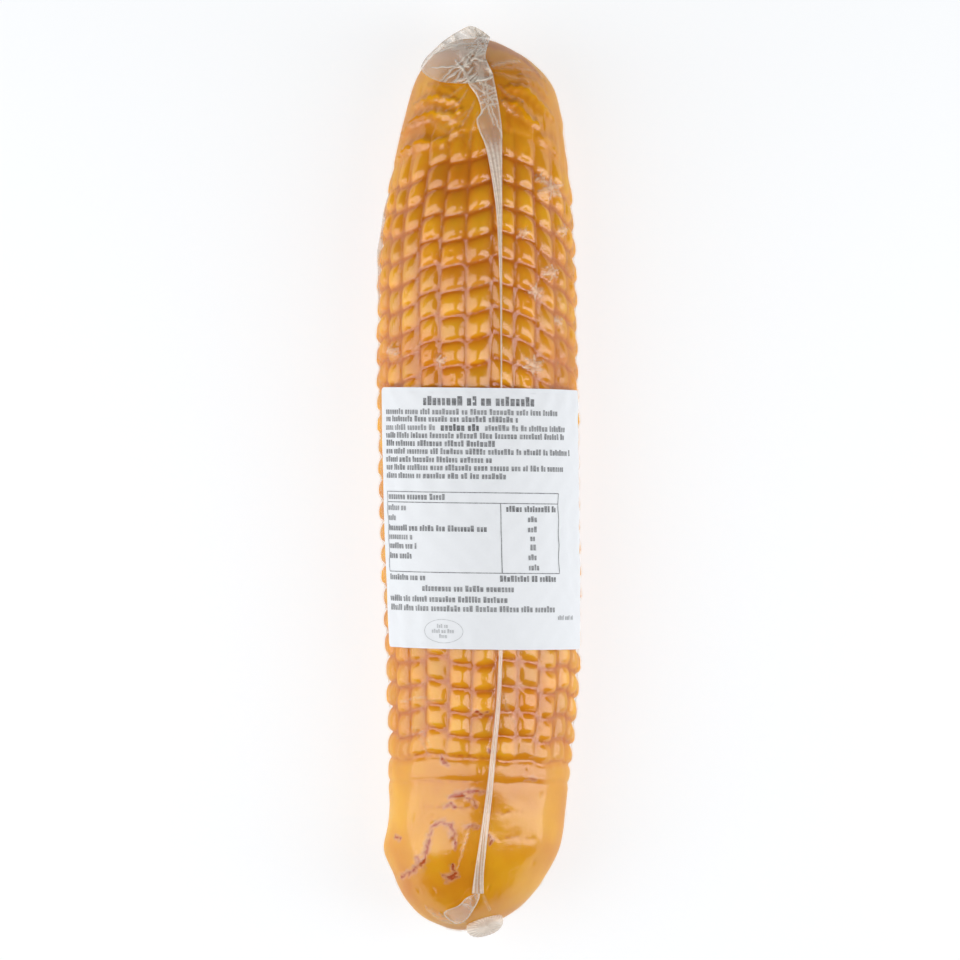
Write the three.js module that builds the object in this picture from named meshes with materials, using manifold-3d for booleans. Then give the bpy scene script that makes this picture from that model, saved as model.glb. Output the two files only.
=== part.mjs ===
// A smoked cheese log in a shrunk vacuum bag, with a paper label wrapped round its front.
// Millimetres. The log lies along Y on a slightly flattened underside, its labelled front up (+Z).
// Turn angles go round the log: 0 is the front (+Z), positive towards +X.
import * as THREE from "three";
import { mergeVertices } from "three/addons/utils/BufferGeometryUtils.js";
import Module from "manifold-3d";

// The log's half-width along its length, as [distance along Y, radius], from the blunt end
// to the tapered end.
const outlinePoints = [
  [-144.2, 0],
  [-143.2, 5.6],
  [-139.8, 13.4],
  [-134.4, 19.4],
  [-127.0, 24.0],
  [-117.0, 27.7],
  [-100.0, 28.7],
  [-84.0, 29.8],
  [-58.0, 31.1],
  [-20.0, 32.0],
  [40.0, 32.2],
  [75.0, 31.3],
  [100.0, 28.3],
  [120.0, 24.2],
  [129.0, 20.9],
  [135.4, 15.7],
  [139.6, 9.2],
  [141.4, 4.2],
  [142.0, 0],
];
// The log's middle line wanders a little to the side, as [distance along Y, offset along X].
const bendPoints = [
  [-144.2, -5.6],
  [-128.0, -3.4],
  [-105.0, -1.0],
  [-62.0, 0.9],
  [0.0, -0.3],
  [70.0, -0.9],
  [122.0, 1.1],
  [142.0, -1.2],
];

const widestRadius = 32.3; // mm, of the bare cheese
const flatDepth = 1.3; // how far the underside is pressed flat under its own weight
const sagShare = 0.5; // how much of the taper the resting underside takes up, at first
const sagDepth = 2.5; // and the most that it takes up

// The mould's net of pillows.
const columns = 24;
const groovedRows = 24; // rows with grooves between them; the last three are pressed smooth
const topRow = 122.2; // where the first groove crosses the front
const rowPitch = 8.45; // there, easing off by twice rowEasing with every row
const rowEasing = 0.0146;
const grooveDepth = 1.6; // in the cheese
const filmGrooveDepth = 0.8; // in the bag, which bridges the grooves
const chevronTop = 1.7; // rows drop by this many pitches from the front to the sides, near the taper
const chevronBottom = 0.3;
const chevronTurn = 7.5; // degrees, where the rows peak: on the groove beside the front
const rowTilt = 0.3; // pitches that the rows rise on one side and drop on the other
const sideTurn = 75; // degrees, where the drops above are measured

// The vacuum bag: drawn thicker than real film, with a gap to the cheese it hugs.
const bagGap = 0.35;
const bagThickness = 0.3;
const bagOffset = bagGap + bagThickness;

// The label, a rounded rectangle of paper that bridges the grooves.
const labelThickness = 0.3;
const labelGap = 0.35;
const labelTurns = [-66.5, 73]; // degrees
const labelAlong = [-53.4, 29];
const labelDroop = 0.5; // its right edge lies this much further down the log than its middle
const labelCornerCut = 0.7;

const degrees = THREE.MathUtils.degToRad;

// A smooth curve through [along, value] pairs, read by its distance along Y.
function readerOf(pairs) {
  const curve = new THREE.SplineCurve(pairs.map(([along, value]) => new THREE.Vector2(along, value)));
  const samples = curve.getPoints(pairs.length * 40);
  return (along) => {
    const next = samples.findIndex((p) => p.x >= along);
    if (next < 0) return samples.at(-1).y;
    if (next === 0) return samples[0].y;
    const [a, b] = [samples[next - 1], samples[next]];
    return a.y + ((b.y - a.y) * (along - a.x)) / (b.x - a.x);
  };
}

const radiusAt = readerOf(outlinePoints);
const bendAt = readerOf(bendPoints);
const bluntEnd = outlinePoints[0][0];
const taperEnd = outlinePoints.at(-1)[0];
const axisHeight = widestRadius + bagOffset - flatDepth;
const axisHeightAt = (along) => {
  const taper = widestRadius - radiusAt(along);
  return axisHeight - sagDepth * Math.tanh((sagShare * taper) / sagDepth);
};

// The outward direction of the outline at a distance along Y, as [radial, along].
function outlineNormal(along) {
  if (along <= bluntEnd) return [0, -1];
  if (along >= taperEnd) return [0, 1];
  const step = Math.min(0.3, along - bluntEnd, taperEnd - along);
  const slope = (radiusAt(along + step) - radiusAt(along - step)) / (2 * step);
  const length = Math.hypot(1, slope);
  return [1 / length, -slope / length];
}

// 1 inside the netted length, fading to 0 on the smooth ends.
function netShare(along) {
  const fromTaper = THREE.MathUtils.smoothstep(along, 110, 134);
  const fromBlunt = THREE.MathUtils.smoothstep(-along, 74, 108);
  return (1 - fromTaper) * (1 - fromBlunt);
}

// Where the groove above a row crosses the front.
const rowAt = (row) => topRow - row * (rowPitch - rowEasing * row);

// How far a row has dropped along the log, in mm, at a turn from the front.
function rowDrop(turn, along) {
  const chevron = THREE.MathUtils.mapLinear(
    THREE.MathUtils.smoothstep(along, -55, 80), 0, 1, chevronBottom, chevronTop);
  const side = degrees(sideTurn);
  const fromPeak = Math.abs(turn - degrees(chevronTurn));
  const drop = (chevron * Math.sin(fromPeak / 2)) / Math.sin(side / 2)
    + (rowTilt * Math.sin(turn)) / Math.sin(side);
  return rowPitch * drop * netShare(along);
}

// A point on the log, lifted off the cheese's crests along the outline's normal.
// floor is the lowest height that the layer may reach.
function logPoint(turn, along, lift, floor) {
  const [radial, lengthwise] = outlineNormal(along);
  const radius = Math.max(0, radiusAt(along) + lift * radial);
  return new THREE.Vector3(
    bendAt(along) + radius * Math.sin(turn),
    along + lift * lengthwise,
    Math.max(floor, axisHeightAt(along) + radius * Math.cos(turn)),
  );
}

// Where the lathe rings go: closer and closer towards a tip, and between the ends one ring on
// each groove and one on each crest.
const bluntCap = [0, 0.05, 0.18, 0.38, 0.65, 1].map((step) => bluntEnd + 24 * step);
const taperCap = [1, 0.5, 0.17, 0].map((step) => taperEnd - 13 * step);
const rings = [...taperCap].reverse().map((along) => ({ along, crest: true }));
for (let half = 0; half <= 2 * groovedRows; half++) {
  rings.push({ along: rowAt(half / 2), crest: half % 2 === 1 });
}
rings.push({ along: rowAt(groovedRows + 3), crest: true });
rings.push(...[...bluntCap].reverse().map((along) => ({ along, crest: true })));
rings.reverse();

// One closed layer round the log. The lathe gives the rings, and each vertex is then moved
// into the net: rows drop, grooves sink, the line bends and the underside is pressed flat.
function layer({ grooves, lift, floor }) {
  const turns = columns * 2; // one line of vertices on each crest and one in each groove
  const profile = rings.map((ring) => new THREE.Vector2(radiusAt(ring.along), ring.along));
  const geometry = new THREE.LatheGeometry(profile, turns);
  const places = geometry.getAttribute("position");
  const point = new THREE.Vector3();
  for (let i = 0; i < places.count; i++) {
    const segment = Math.floor(i / rings.length) % turns;
    const ring = rings[i % rings.length];
    const around = (segment / turns) * 2 * Math.PI;
    const turn = around > Math.PI ? around - 2 * Math.PI : around;
    const onCrest = ring.crest && segment % 2 === 0;
    const sink = onCrest ? 0 : grooves * netShare(ring.along);
    const along = ring.along - rowDrop(turn, ring.along);
    point.copy(logPoint(turn, along, lift - sink, floor));
    places.setXYZ(i, point.x, point.y, point.z);
  }
  return closed(geometry);
}

// A plate laid on the log: a box whose x runs across, y along and z off the surface, with
// shape(across, along) giving each column of vertices its [turn, along, lift of the mid plane].
function plate({ across, along, thickness, shape }) {
  const geometry = new THREE.BoxGeometry(2, 2, 2, across, along, 1);
  const places = geometry.getAttribute("position");
  for (let i = 0; i < places.count; i++) {
    const [turn, y, lift] = shape(places.getX(i), places.getY(i));
    const point = logPoint(turn, y, lift + (places.getZ(i) * thickness) / 2, 0);
    places.setXYZ(i, point.x, point.y, point.z);
  }
  return closed(geometry);
}

// Merges a geometry's shared vertices, so that it is one closed mesh.
function closed(geometry) {
  geometry.deleteAttribute("normal");
  geometry.deleteAttribute("uv");
  return mergeVertices(geometry, 1e-4);
}

const wasm = await Module();
wasm.setup();

function solidOf(geometry) {
  return new wasm.Manifold(new wasm.Mesh({
    numProp: 3,
    vertProperties: new Float32Array(geometry.getAttribute("position").array),
    triVerts: new Uint32Array(geometry.index.array),
  }));
}

function geometryOf(solid) {
  const { vertProperties, triVerts } = solid.getMesh();
  return new THREE.BufferGeometry()
    .setAttribute("position", new THREE.BufferAttribute(vertProperties, 3))
    .setIndex(new THREE.BufferAttribute(triVerts, 1));
}

// --- The cheese: one solid log with its moulded pillows. ---
const cheeseGeometry = layer({ grooves: grooveDepth, lift: 0, floor: bagOffset });

// --- The vacuum bag: a skin, its pleats, and the film gathered at both ends. ---

// A pleat of pinched film: points as [turn in degrees, distance along Y, width]. Its foot is
// sunk into the bag, and only its crown is left above the skin.
const pleatHeight = 2.4;
const pleatCrown = 0.75;

function pleat(points) {
  const turnAt = readerOf(points.map(([turn, y]) => [y, turn]));
  const widthAt = readerOf(points.map(([, y, width]) => [y, width]));
  const [from, to] = [points[0][1], points.at(-1)[1]];
  return plate({
    across: 2,
    along: 8,
    thickness: pleatHeight,
    shape: (across, along) => {
      const y = THREE.MathUtils.mapLinear(along, -1, 1, from, to);
      const spread = ((across * widthAt(y)) / 2) / radiusAt(y);
      const crown = across === 0 ? pleatCrown : pleatCrown / 3;
      return [degrees(turnAt(y)) + spread, y, bagOffset + crown - pleatHeight / 2];
    },
  });
}

// The front pleat shows on both sides of the label, and a second one runs down the left side.
const pleats = [
  pleat([[12.2, 31.5, 1.2], [13.4, 52, 1.5], [14.6, 70, 2.2], [12.6, 95, 3.4], [6.4, 119, 6.0]]),
  pleat([[5.0, -130, 3.6], [6.0, -112, 3.2], [8.2, -86, 2.2], [9.4, -57, 1.4]]),
  pleat([[-92, 52, 1.2], [-88, 78, 1.6], [-86, 104, 1.2]]),
];

// A crumpled lump of gathered film, lying on the bag at a turn and a distance along. Its half
// sizes run across, along and off the surface; roll turns it in the surface.
function lump({ turn, along, lift, halfSizes, roll = 0 }) {
  const geometry = new THREE.SphereGeometry(1, 12, 8);
  const places = geometry.getAttribute("position");
  const point = new THREE.Vector3();
  for (let i = 0; i < places.count; i++) {
    point.fromBufferAttribute(places, i);
    const crumple = Math.sin(5 * point.x + 2 * point.z) * Math.sin(4 * point.y - 3 * point.z);
    point.multiplyScalar(1 + 0.09 * crumple);
    places.setXYZ(i, point.x, point.y, point.z);
  }
  geometry.scale(...halfSizes);
  geometry.rotateZ(degrees(roll));
  const foot = logPoint(degrees(turn), along, lift, 0);
  const off = logPoint(degrees(turn), along, lift + 1, 0).sub(foot).normalize();
  geometry.applyQuaternion(new THREE.Quaternion().setFromUnitVectors(new THREE.Vector3(0, 0, 1), off));
  geometry.translate(foot.x, foot.y, foot.z);
  return closed(geometry);
}

// The taper's film is folded over to one side; the blunt end's is drawn into a knot with a flap.
const knot = { turn: 37, along: -141.0, lift: 0.3, halfSizes: [6.0, 4.4, 3.8] };
const gatheredFilm = [
  lump({ turn: -30, along: 134.6, lift: 0.6, halfSizes: [12.8, 8.4, 2.4], roll: 30 }),
  lump({ turn: -14, along: 140.2, lift: 0.8, halfSizes: [5.6, 5.0, 4.0] }),
  lump({ turn: -5, along: -136.2, lift: 0.6, halfSizes: [6.8, 3.4, 1.2], roll: 32 }),
  lump(knot),
];

const bagOutside = [
  layer({ grooves: filmGrooveDepth, lift: bagOffset, floor: 0 }),
  ...pleats,
  ...gatheredFilm,
].map(solidOf).reduce((all, piece) => all.add(piece));

const bagInside = solidOf(layer({ grooves: filmGrooveDepth, lift: bagGap, floor: bagThickness }));

// The knot keeps a narrow channel, where the bag's mouth was drawn shut.
const knotMiddle = logPoint(degrees(knot.turn), knot.along, knot.lift, 0);
const neckChannel = new THREE.CylinderGeometry(0.8, 0.8, 16, 8);
neckChannel.rotateX(degrees(-25));
neckChannel.translate(knotMiddle.x, knotMiddle.y, knotMiddle.z);
const bagGeometry = geometryOf(bagOutside.subtract(bagInside).subtract(solidOf(closed(neckChannel))));

// --- The label: paper wrapped round the front, bridging the grooves. ---
const labelColumns = 20;
const labelRows = 10;
const labelLift = bagOffset + labelGap + labelThickness / 2;

const labelGeometry = plate({
  across: labelColumns,
  along: labelRows,
  thickness: labelThickness,
  shape: (across, along) => {
    const atCorner = Math.abs(across) === 1 && Math.abs(along) === 1;
    const pull = atCorner ? labelCornerCut : 0;
    const turn = THREE.MathUtils.mapLinear(across, -1, 1, ...labelTurns); // in degrees
    const y = THREE.MathUtils.mapLinear(along, -1, 1, ...labelAlong) - labelDroop * across;
    const turnPull = THREE.MathUtils.radToDeg(pull / widestRadius);
    return [degrees(turn - turnPull * Math.sign(across)), y - pull * Math.sign(along), labelLift];
  },
});

// --- Materials and the assembled part. ---
const smokedCheese = new THREE.MeshStandardMaterial({ color: 0xd8963c, roughness: 0.45, metalness: 0 });
const clearFilm = new THREE.MeshStandardMaterial({
  color: 0xf2ebe2, roughness: 0.12, metalness: 0, transparent: true, opacity: 0.3,
});
const labelPaper = new THREE.MeshStandardMaterial({ color: 0xe4e8ee, roughness: 0.6, metalness: 0 });

function named(name, geometry, material) {
  geometry.computeVertexNormals();
  const mesh = new THREE.Mesh(geometry, material);
  mesh.name = name;
  return mesh;
}

const smokedCheesePack = new THREE.Group();
smokedCheesePack.add(
  named("cheese", cheeseGeometry, smokedCheese),
  named("vacuum_bag", bagGeometry, clearFilm),
  named("label", labelGeometry, labelPaper),
);

// The origin is under the middle of the pack, on the surface that it rests on.
const middle = new THREE.Box3().setFromObject(smokedCheesePack).getCenter(new THREE.Vector3());
for (const piece of smokedCheesePack.children) piece.position.set(-middle.x, -middle.y, 0);

export default smokedCheesePack;
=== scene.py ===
"""A smoked cheese log, shrunk into a clear vacuum bag and wrapped by a paper label.

The log lies along Y on its flattened underside, with its labelled front up. Places on it are
given as a turn round the log (0 is the front, positive towards +X) and a distance along Y.
"""
import math

import bpy
import numpy as np
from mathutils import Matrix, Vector


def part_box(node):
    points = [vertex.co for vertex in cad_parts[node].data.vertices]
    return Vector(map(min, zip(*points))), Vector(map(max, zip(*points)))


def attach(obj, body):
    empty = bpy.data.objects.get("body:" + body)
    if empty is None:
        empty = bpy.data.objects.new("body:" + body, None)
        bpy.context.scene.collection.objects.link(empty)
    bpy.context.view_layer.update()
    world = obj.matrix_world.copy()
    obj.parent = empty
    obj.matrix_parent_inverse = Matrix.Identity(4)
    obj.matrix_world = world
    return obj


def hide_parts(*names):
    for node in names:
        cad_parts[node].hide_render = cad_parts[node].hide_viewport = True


bl_info = {
    "name": "Smoked Cheese Log",
    "version": (1, 0, 0),
    "blender": (4, 5, 0),
    "location": "View3D > Sidebar > Smoked Cheese",
    "description": "Builds a net-moulded smoked cheese in its vacuum bag, with a label",
    "category": "Add Mesh",
}

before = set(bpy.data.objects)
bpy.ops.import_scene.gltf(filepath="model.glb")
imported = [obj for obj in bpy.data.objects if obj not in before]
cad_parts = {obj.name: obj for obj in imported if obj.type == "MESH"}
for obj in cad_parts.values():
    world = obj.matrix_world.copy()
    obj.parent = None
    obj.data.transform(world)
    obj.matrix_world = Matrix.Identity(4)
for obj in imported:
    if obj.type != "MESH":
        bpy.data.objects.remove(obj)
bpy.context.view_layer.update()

MM = 0.001

# The log's half-width along its length, and how far its middle line wanders to the side, in
# millimetres, from the blunt end to the tapered end.
OUTLINE = [
    (-144.2, 0), (-143.2, 5.6), (-139.8, 13.4), (-134.4, 19.4), (-127.0, 24.0), (-117.0, 27.7),
    (-100.0, 28.7), (-84.0, 29.8), (-58.0, 31.1), (-20.0, 32.0), (40.0, 32.2), (75.0, 31.3),
    (100.0, 28.3), (120.0, 24.2), (129.0, 20.9), (135.4, 15.7), (139.6, 9.2), (141.4, 4.2), (142.0, 0),
]
BEND = [
    (-144.2, -5.6), (-128.0, -3.4), (-105.0, -1.0), (-62.0, 0.9), (0.0, -0.3), (70.0, -0.9),
    (122.0, 1.1), (142.0, -1.2),
]
BLUNT_END = OUTLINE[0][0]
TAPER_END = OUTLINE[-1][0]
WIDEST = 32.3
FLAT_DEPTH = 1.3  # of the flat that it rests on
SAG_SHARE = 0.5  # of a taper that the underside takes up, until it has taken up the depth
SAG_DEPTH = 2.5
BAG_LIFT = 0.65  # of the CAD bag's outside off the cheese
FILM_LIFT = 0.5  # of the film off the cheese
FILM_THICKNESS = 0.12
MILKIEST = 0.85  # share of white in film that is folded many times
COLUMNS = 24
FIRST_GROOVE = 122.2
ROW_PITCH = 8.45  # at the taper; each row is shorter than the last by twice the easing
ROW_EASING = 0.0146
MEAN_PITCH = 8.0
CHEVRON = (0.3, 1.7)  # pitches that a row drops by at the sides: at the blunt end, at the taper
CHEVRON_TURN = math.radians(7.5)  # the rows' peaks stand on the groove beside the front
ROW_TILT = 0.3
SIDE_TURN = math.radians(75)
LABEL_TURNS = (-66.5, 73.0)  # degrees
LABEL_ALONG = (-53.4, 29.0)
LABEL_TILT = 0.012  # how far its right side hangs lower, for each mm across


def linear(hex_colour, alpha=1.0):
    """An sRGB hex colour such as "#c87d18" as linear red, green, blue and alpha."""
    channels = [int(hex_colour[i:i + 2], 16) / 255 for i in (1, 3, 5)]
    return [c / 12.92 if c <= 0.04045 else ((c + 0.055) / 1.055) ** 2.4 for c in channels] + [alpha]


def reader(pairs):
    """A smooth curve through (along, value) pairs, as a function of along."""
    points = np.array(pairs, float)
    padded = np.vstack([points[0], points, points[-1]])
    steps = np.linspace(0, 1, 40, endpoint=False)[:, None]
    runs = []
    for a, b, c, d in zip(padded, padded[1:], padded[2:], padded[3:]):
        cubic = 2 * b + (c - a) * steps + (2 * a - 5 * b + 4 * c - d) * steps**2
        runs.append((cubic + (3 * b - a - 3 * c + d) * steps**3) / 2)
    curve = np.vstack([*runs, points[-1:]])
    return lambda along: np.interp(along, curve[:, 0], curve[:, 1])


radius_at = reader(OUTLINE)
bend_at = reader(BEND)
AXIS_HEIGHT = WIDEST + BAG_LIFT - FLAT_DEPTH


def axis_height_at(along):
    """How high the log's middle line runs: the underside takes up a little of each taper."""
    return AXIS_HEIGHT - SAG_DEPTH * np.tanh(SAG_SHARE * (WIDEST - radius_at(along)) / SAG_DEPTH)


def frame_shift():
    """How far the CAD model was moved to centre it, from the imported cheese's own low corner."""
    low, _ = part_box("cheese")
    along = np.linspace(BLUNT_END, TAPER_END, 800)
    own_low = (bend_at(along) - radius_at(along)).min()
    return np.array([low.x / MM - own_low, low.y / MM - BLUNT_END, 0.0])


SHIFT = frame_shift()


def log_points(turn, along, lift, floor=0.0):
    """Points on the log, in metres, lifted off the cheese's crests by lift millimetres."""
    turn, along, lift = np.broadcast_arrays(np.asarray(turn, float), along, lift)
    # The slope is measured over a short step, and a shorter one at the tips.
    step = np.clip(np.minimum(along - BLUNT_END, TAPER_END - along), 1e-3, 0.3)
    slope = (radius_at(along + step) - radius_at(along - step)) / (2 * step)
    length = np.hypot(1, slope)
    radius = np.maximum(0, radius_at(along) + lift / length)
    places = np.stack([
        bend_at(along) + radius * np.sin(turn),
        along - lift * slope / length,
        np.maximum(floor, axis_height_at(along) + radius * np.cos(turn)),
    ], axis=-1)
    return (places + SHIFT) * MM


def front_turn(across, along):
    """The turn at which a point seen from the front, across mm to the side, lies on the log."""
    share = (np.asarray(across, float) - bend_at(along)) / (radius_at(along) + BAG_LIFT)
    just_inside = 0.995
    return np.arcsin(np.clip(share, -just_inside, just_inside))


def front_points(across, along, lift):
    """Points in metres at places seen from the front, lifted towards the viewer off the bag."""
    across, along, lift = np.broadcast_arrays(np.asarray(across, float), along, lift)
    radius = radius_at(along) + FILM_LIFT
    depth = np.sqrt(np.maximum(0, radius**2 - (across - bend_at(along)) ** 2))
    places = np.stack([across, along, axis_height_at(along) + depth + lift], axis=-1)
    return (places + SHIFT) * MM


def mesh_object(name, points, faces, attributes=None):
    """A new object at the origin from points in metres, faces, and named values per vertex."""
    mesh = bpy.data.meshes.new(name)
    mesh.from_pydata(points.reshape(-1, 3).tolist(), [], faces)
    for key, values in (attributes or {}).items():
        layer = mesh.attributes.new(key, "FLOAT", "POINT")
        layer.data.foreach_set("value", np.asarray(values, np.float32).ravel())
    mesh.polygons.foreach_set("use_smooth", [True] * len(mesh.polygons))
    mesh.update()
    made = bpy.data.objects.new(name, mesh)
    bpy.context.scene.collection.objects.link(made)
    return made


def grid_faces(rows, columns, wraps=False):
    """Quads of a grid of rows by columns of points; wraps joins the last column to the first."""
    count = columns if wraps else columns - 1
    faces = []
    for r in range(rows - 1):
        for c in range(count):
            d = (c + 1) % columns
            faces.append((r * columns + c, r * columns + d, (r + 1) * columns + d, (r + 1) * columns + c))
    return faces


def closed_sheet(name, top, bottom, material, **values):
    """A thin closed sheet between two grids of points, along by across, with named values."""
    rows, columns = top.shape[:2]
    below = rows * columns
    faces = grid_faces(rows, columns)
    faces += [tuple(corner + below for corner in reversed(face)) for face in faces]
    for c in range(columns - 1):
        far = (rows - 1) * columns + c
        faces.append((c + 1, c, c + below, c + 1 + below))
        faces.append((far, far + 1, far + 1 + below, far + below))
    for left in range(0, (rows - 1) * columns, columns):
        right = left + columns - 1
        faces.append((left, left + columns, left + columns + below, left + below))
        faces.append((right + columns, right, right + below, right + columns + below))
    points = np.concatenate([top.reshape(-1, 3), bottom.reshape(-1, 3)])
    doubled = {key: np.tile(value.ravel(), 2) for key, value in values.items()}
    made = mesh_object(name, points, faces, doubled)
    made.data.materials.append(material)
    return made


def add(tree, kind, *inputs, **named):
    """Adds a node of a kind such as "MapRange", or "Math.ADD" for a kind with its operation.

    Unnamed inputs go to its sockets in order, and each is a value, an output, or a node whose first
    output is meant. Capitalised names are sockets too, and lower-case names are its properties.
    """
    kind, _, operation = kind.partition(".")
    node = tree.nodes.new(kind if "Node" in kind else "ShaderNode" + kind)
    if operation:
        node.operation = operation
    for name, value in named.items():
        if name[0].islower():
            setattr(node, name, value)
    given = list(zip([socket for socket in node.inputs if socket.enabled], inputs))
    given += [(node.inputs[name.replace("_", " ")], value)
              for name, value in named.items() if name[0].isupper()]
    for socket, value in given:
        if isinstance(value, bpy.types.Node):
            value = next(output for output in value.outputs if output.enabled)
        if isinstance(value, bpy.types.NodeSocket):
            tree.links.new(value, socket)
        else:
            socket.default_value = value
    return node


def baked(obj, name):
    """Turns what obj's modifiers make into a plain mesh in a new object, and removes obj."""
    graph = bpy.context.evaluated_depsgraph_get()
    mesh = bpy.data.meshes.new_from_object(obj.evaluated_get(graph))
    made = bpy.data.objects.new(name, mesh)
    bpy.context.scene.collection.objects.link(made)
    bpy.data.objects.remove(obj)
    mesh.name = name
    return made


def run_tree(obj, tree, **values):
    """Puts a node tree on obj as a modifier, with its inputs set by their sockets' identifiers."""
    modifier = obj.modifiers.new(tree.name, "NODES")
    modifier.node_group = tree
    for socket in tree.interface.items_tree:
        if socket.item_type == "SOCKET" and socket.in_out == "INPUT" and socket.name in values:
            modifier[socket.identifier] = values[socket.name]


def place(piece, slot, *nodes):
    """Gives a finished piece its body and hides the CAD nodes that it stands for; slot is not used."""
    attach(piece, "root")
    if nodes:
        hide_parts(*nodes)


# --- What a user would change ---


def length_property(name, description, millimetres):
    """A length that the panel shows, given in millimetres."""
    return bpy.props.FloatProperty(
        name=name, description=description, default=millimetres * MM, unit="LENGTH", precision=4)


def colour_property(name, description, hex_colour):
    """A colour that the panel shows, given as sRGB hex."""
    return bpy.props.FloatVectorProperty(
        name=name, description=description, subtype="COLOR", size=4, min=0, max=1,
        default=linear(hex_colour))


class SmokedCheeseSizes(bpy.types.PropertyGroup):
    """Sizes of the log, its net of pillows, the bag and the label."""

    groove_depth: length_property("Groove depth", "Depth of the net's grooves in the cheese", 2.1)
    film_depth: length_property("Film depth", "How far the shrunk film sinks into the grooves", 1.5)
    groove_width: length_property(
        "Groove width", "From a groove's bottom to where a pillow's top begins", 4.1)
    unevenness: length_property("Unevenness", "How much the pillows' heights differ", 0.5)
    wander: length_property("Wander", "How far the grooves stray from a true grid", 6.0)
    label_lift: length_property("Label lift", "Height of the label's paper off the crests", 1.1)
    around: bpy.props.IntProperty(
        name="Points around", description="Mesh points round the log", default=252, min=48)
    lengthwise: bpy.props.IntProperty(
        name="Points along", description="Mesh points along the log", default=392, min=60)


class SmokedCheeseColours(bpy.types.PropertyGroup):
    """Colours of the pieces."""

    pale_rind: colour_property("Pale rind", "Lightly smoked rind on the pillows", "#f9b61a")
    # Dark rind is the smoke's deeper tone, and towards the grooves it also paints shade.
    dark_rind: colour_property("Dark rind", "Deeper smoke on the rind", "#e08a06")
    # Groove is smoke colour with painted shade, laid in the grooves' bottoms.
    groove: colour_property("Groove", "Smoke gathered in the grooves", "#c86600")
    scar: colour_property("Scar", "Burst rind, browned by the smoke", "#bc4c0c")
    burst: colour_property("Burst", "Pale curd that shows beside a burst", "#e0a078")
    # Film colour also paints highlights, as milkiness, along the pillows' lips and the crossings.
    film: colour_property("Film", "Stretched film, milky where it is drawn", "#ffe2c0")
    gathered: colour_property("Gathered film", "Film folded on itself at the ends", "#f8eee0")
    paper: colour_property("Paper", "The label's paper", "#f4f7fb")
    ink: colour_property("Ink", "The label's print", "#45474b")
    floor: colour_property("Floor", "The pale floor", "#e4e6e8")


# --- Materials ---


def new_material(name):
    """A material with only an output node, and that node."""
    material = bpy.data.materials.new(name)
    material.use_nodes = True
    material.node_tree.nodes.clear()
    return material, material.node_tree


def smoked_rind(colours):
    """Steamed curd cheese, smoked after moulding: a waxy amber rind, darker where smoke settles."""
    material, tree = new_material("steamed_cheese_smoked_rind")
    place_on_piece = add(tree, "TexCoord").outputs["Object"]
    # Smoke drifts over the rind in soft clouds some 30 mm across.
    cloud = add(tree, "TexNoise", place_on_piece, 1 / (30 * MM), 3.0, 0.55)
    cloud_share = add(tree, "MapRange", cloud, 0.35, 0.68, 0.0, 1.0)
    rind = add(tree, "Mix", cloud_share, colours.pale_rind, colours.dark_rind, data_type="RGBA")
    # Each pillow takes the smoke a little differently.
    pillow, groove, scar = (
        add(tree, "Attribute", attribute_name=name).outputs["Fac"] for name in ("pillow", "groove", "scar"))
    tint = add(tree, "MapRange", pillow, -0.5, 0.5, 0.9, 1.1)
    colour = add(tree, "HueSaturation", 0.5, 1.0, tint, 1.0, rind)
    # Burst rind is frayed into shreds about 2 mm across.
    torn = add(tree, "TexNoise", place_on_piece, 1 / (1.8 * MM), 3.0, 0.7)
    fraying = add(tree, "MapRange", torn, 0.36, 0.62, 0.35, 1.25)
    frayed = add(tree, "Math.MULTIPLY", scar, fraying)
    # Smoke colour and painted shade darken the rind towards the pillows' feet, and most along the
    # narrow bottoms of the grooves; the shade is painted under each pillow's lip. A burst shows pale
    # curd at its lips, and a brown crack between them.
    for mark, faint, full, most, laid_over in (
        (groove, 0.1, 0.7, 0.75, colours.dark_rind),
        (groove, 0.45, 0.95, 0.9, colours.groove),
        (frayed, 0.03, 0.3, 0.75, colours.burst),
        (frayed, 0.35, 0.85, 1.0, colours.scar),
    ):
        share = add(tree, "MapRange", mark, faint, full, 0.0, most)
        colour = add(tree, "Mix", share, colour, laid_over, data_type="RGBA")
    # Fine pits of the curd, about 1 mm apart.
    curd = add(tree, "TexNoise", place_on_piece, 1 / (1.4 * MM), 4.0, 0.6)
    bump = add(tree, "Bump", 0.35, 0.25 * MM, Height=curd)
    # The film clings to the rind with fat between them, so the rind itself hardly shines.
    surface = add(
        tree, "BsdfPrincipled", Base_Color=colour, Normal=bump, Roughness=0.42, IOR=1.45,
        Specular_IOR_Level=0.05, Subsurface_Weight=0.25, Subsurface_Radius=(1.0, 0.45, 0.12),
        Subsurface_Scale=2.0 * MM)
    add(tree, "OutputMaterial", surface)
    return material


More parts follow.
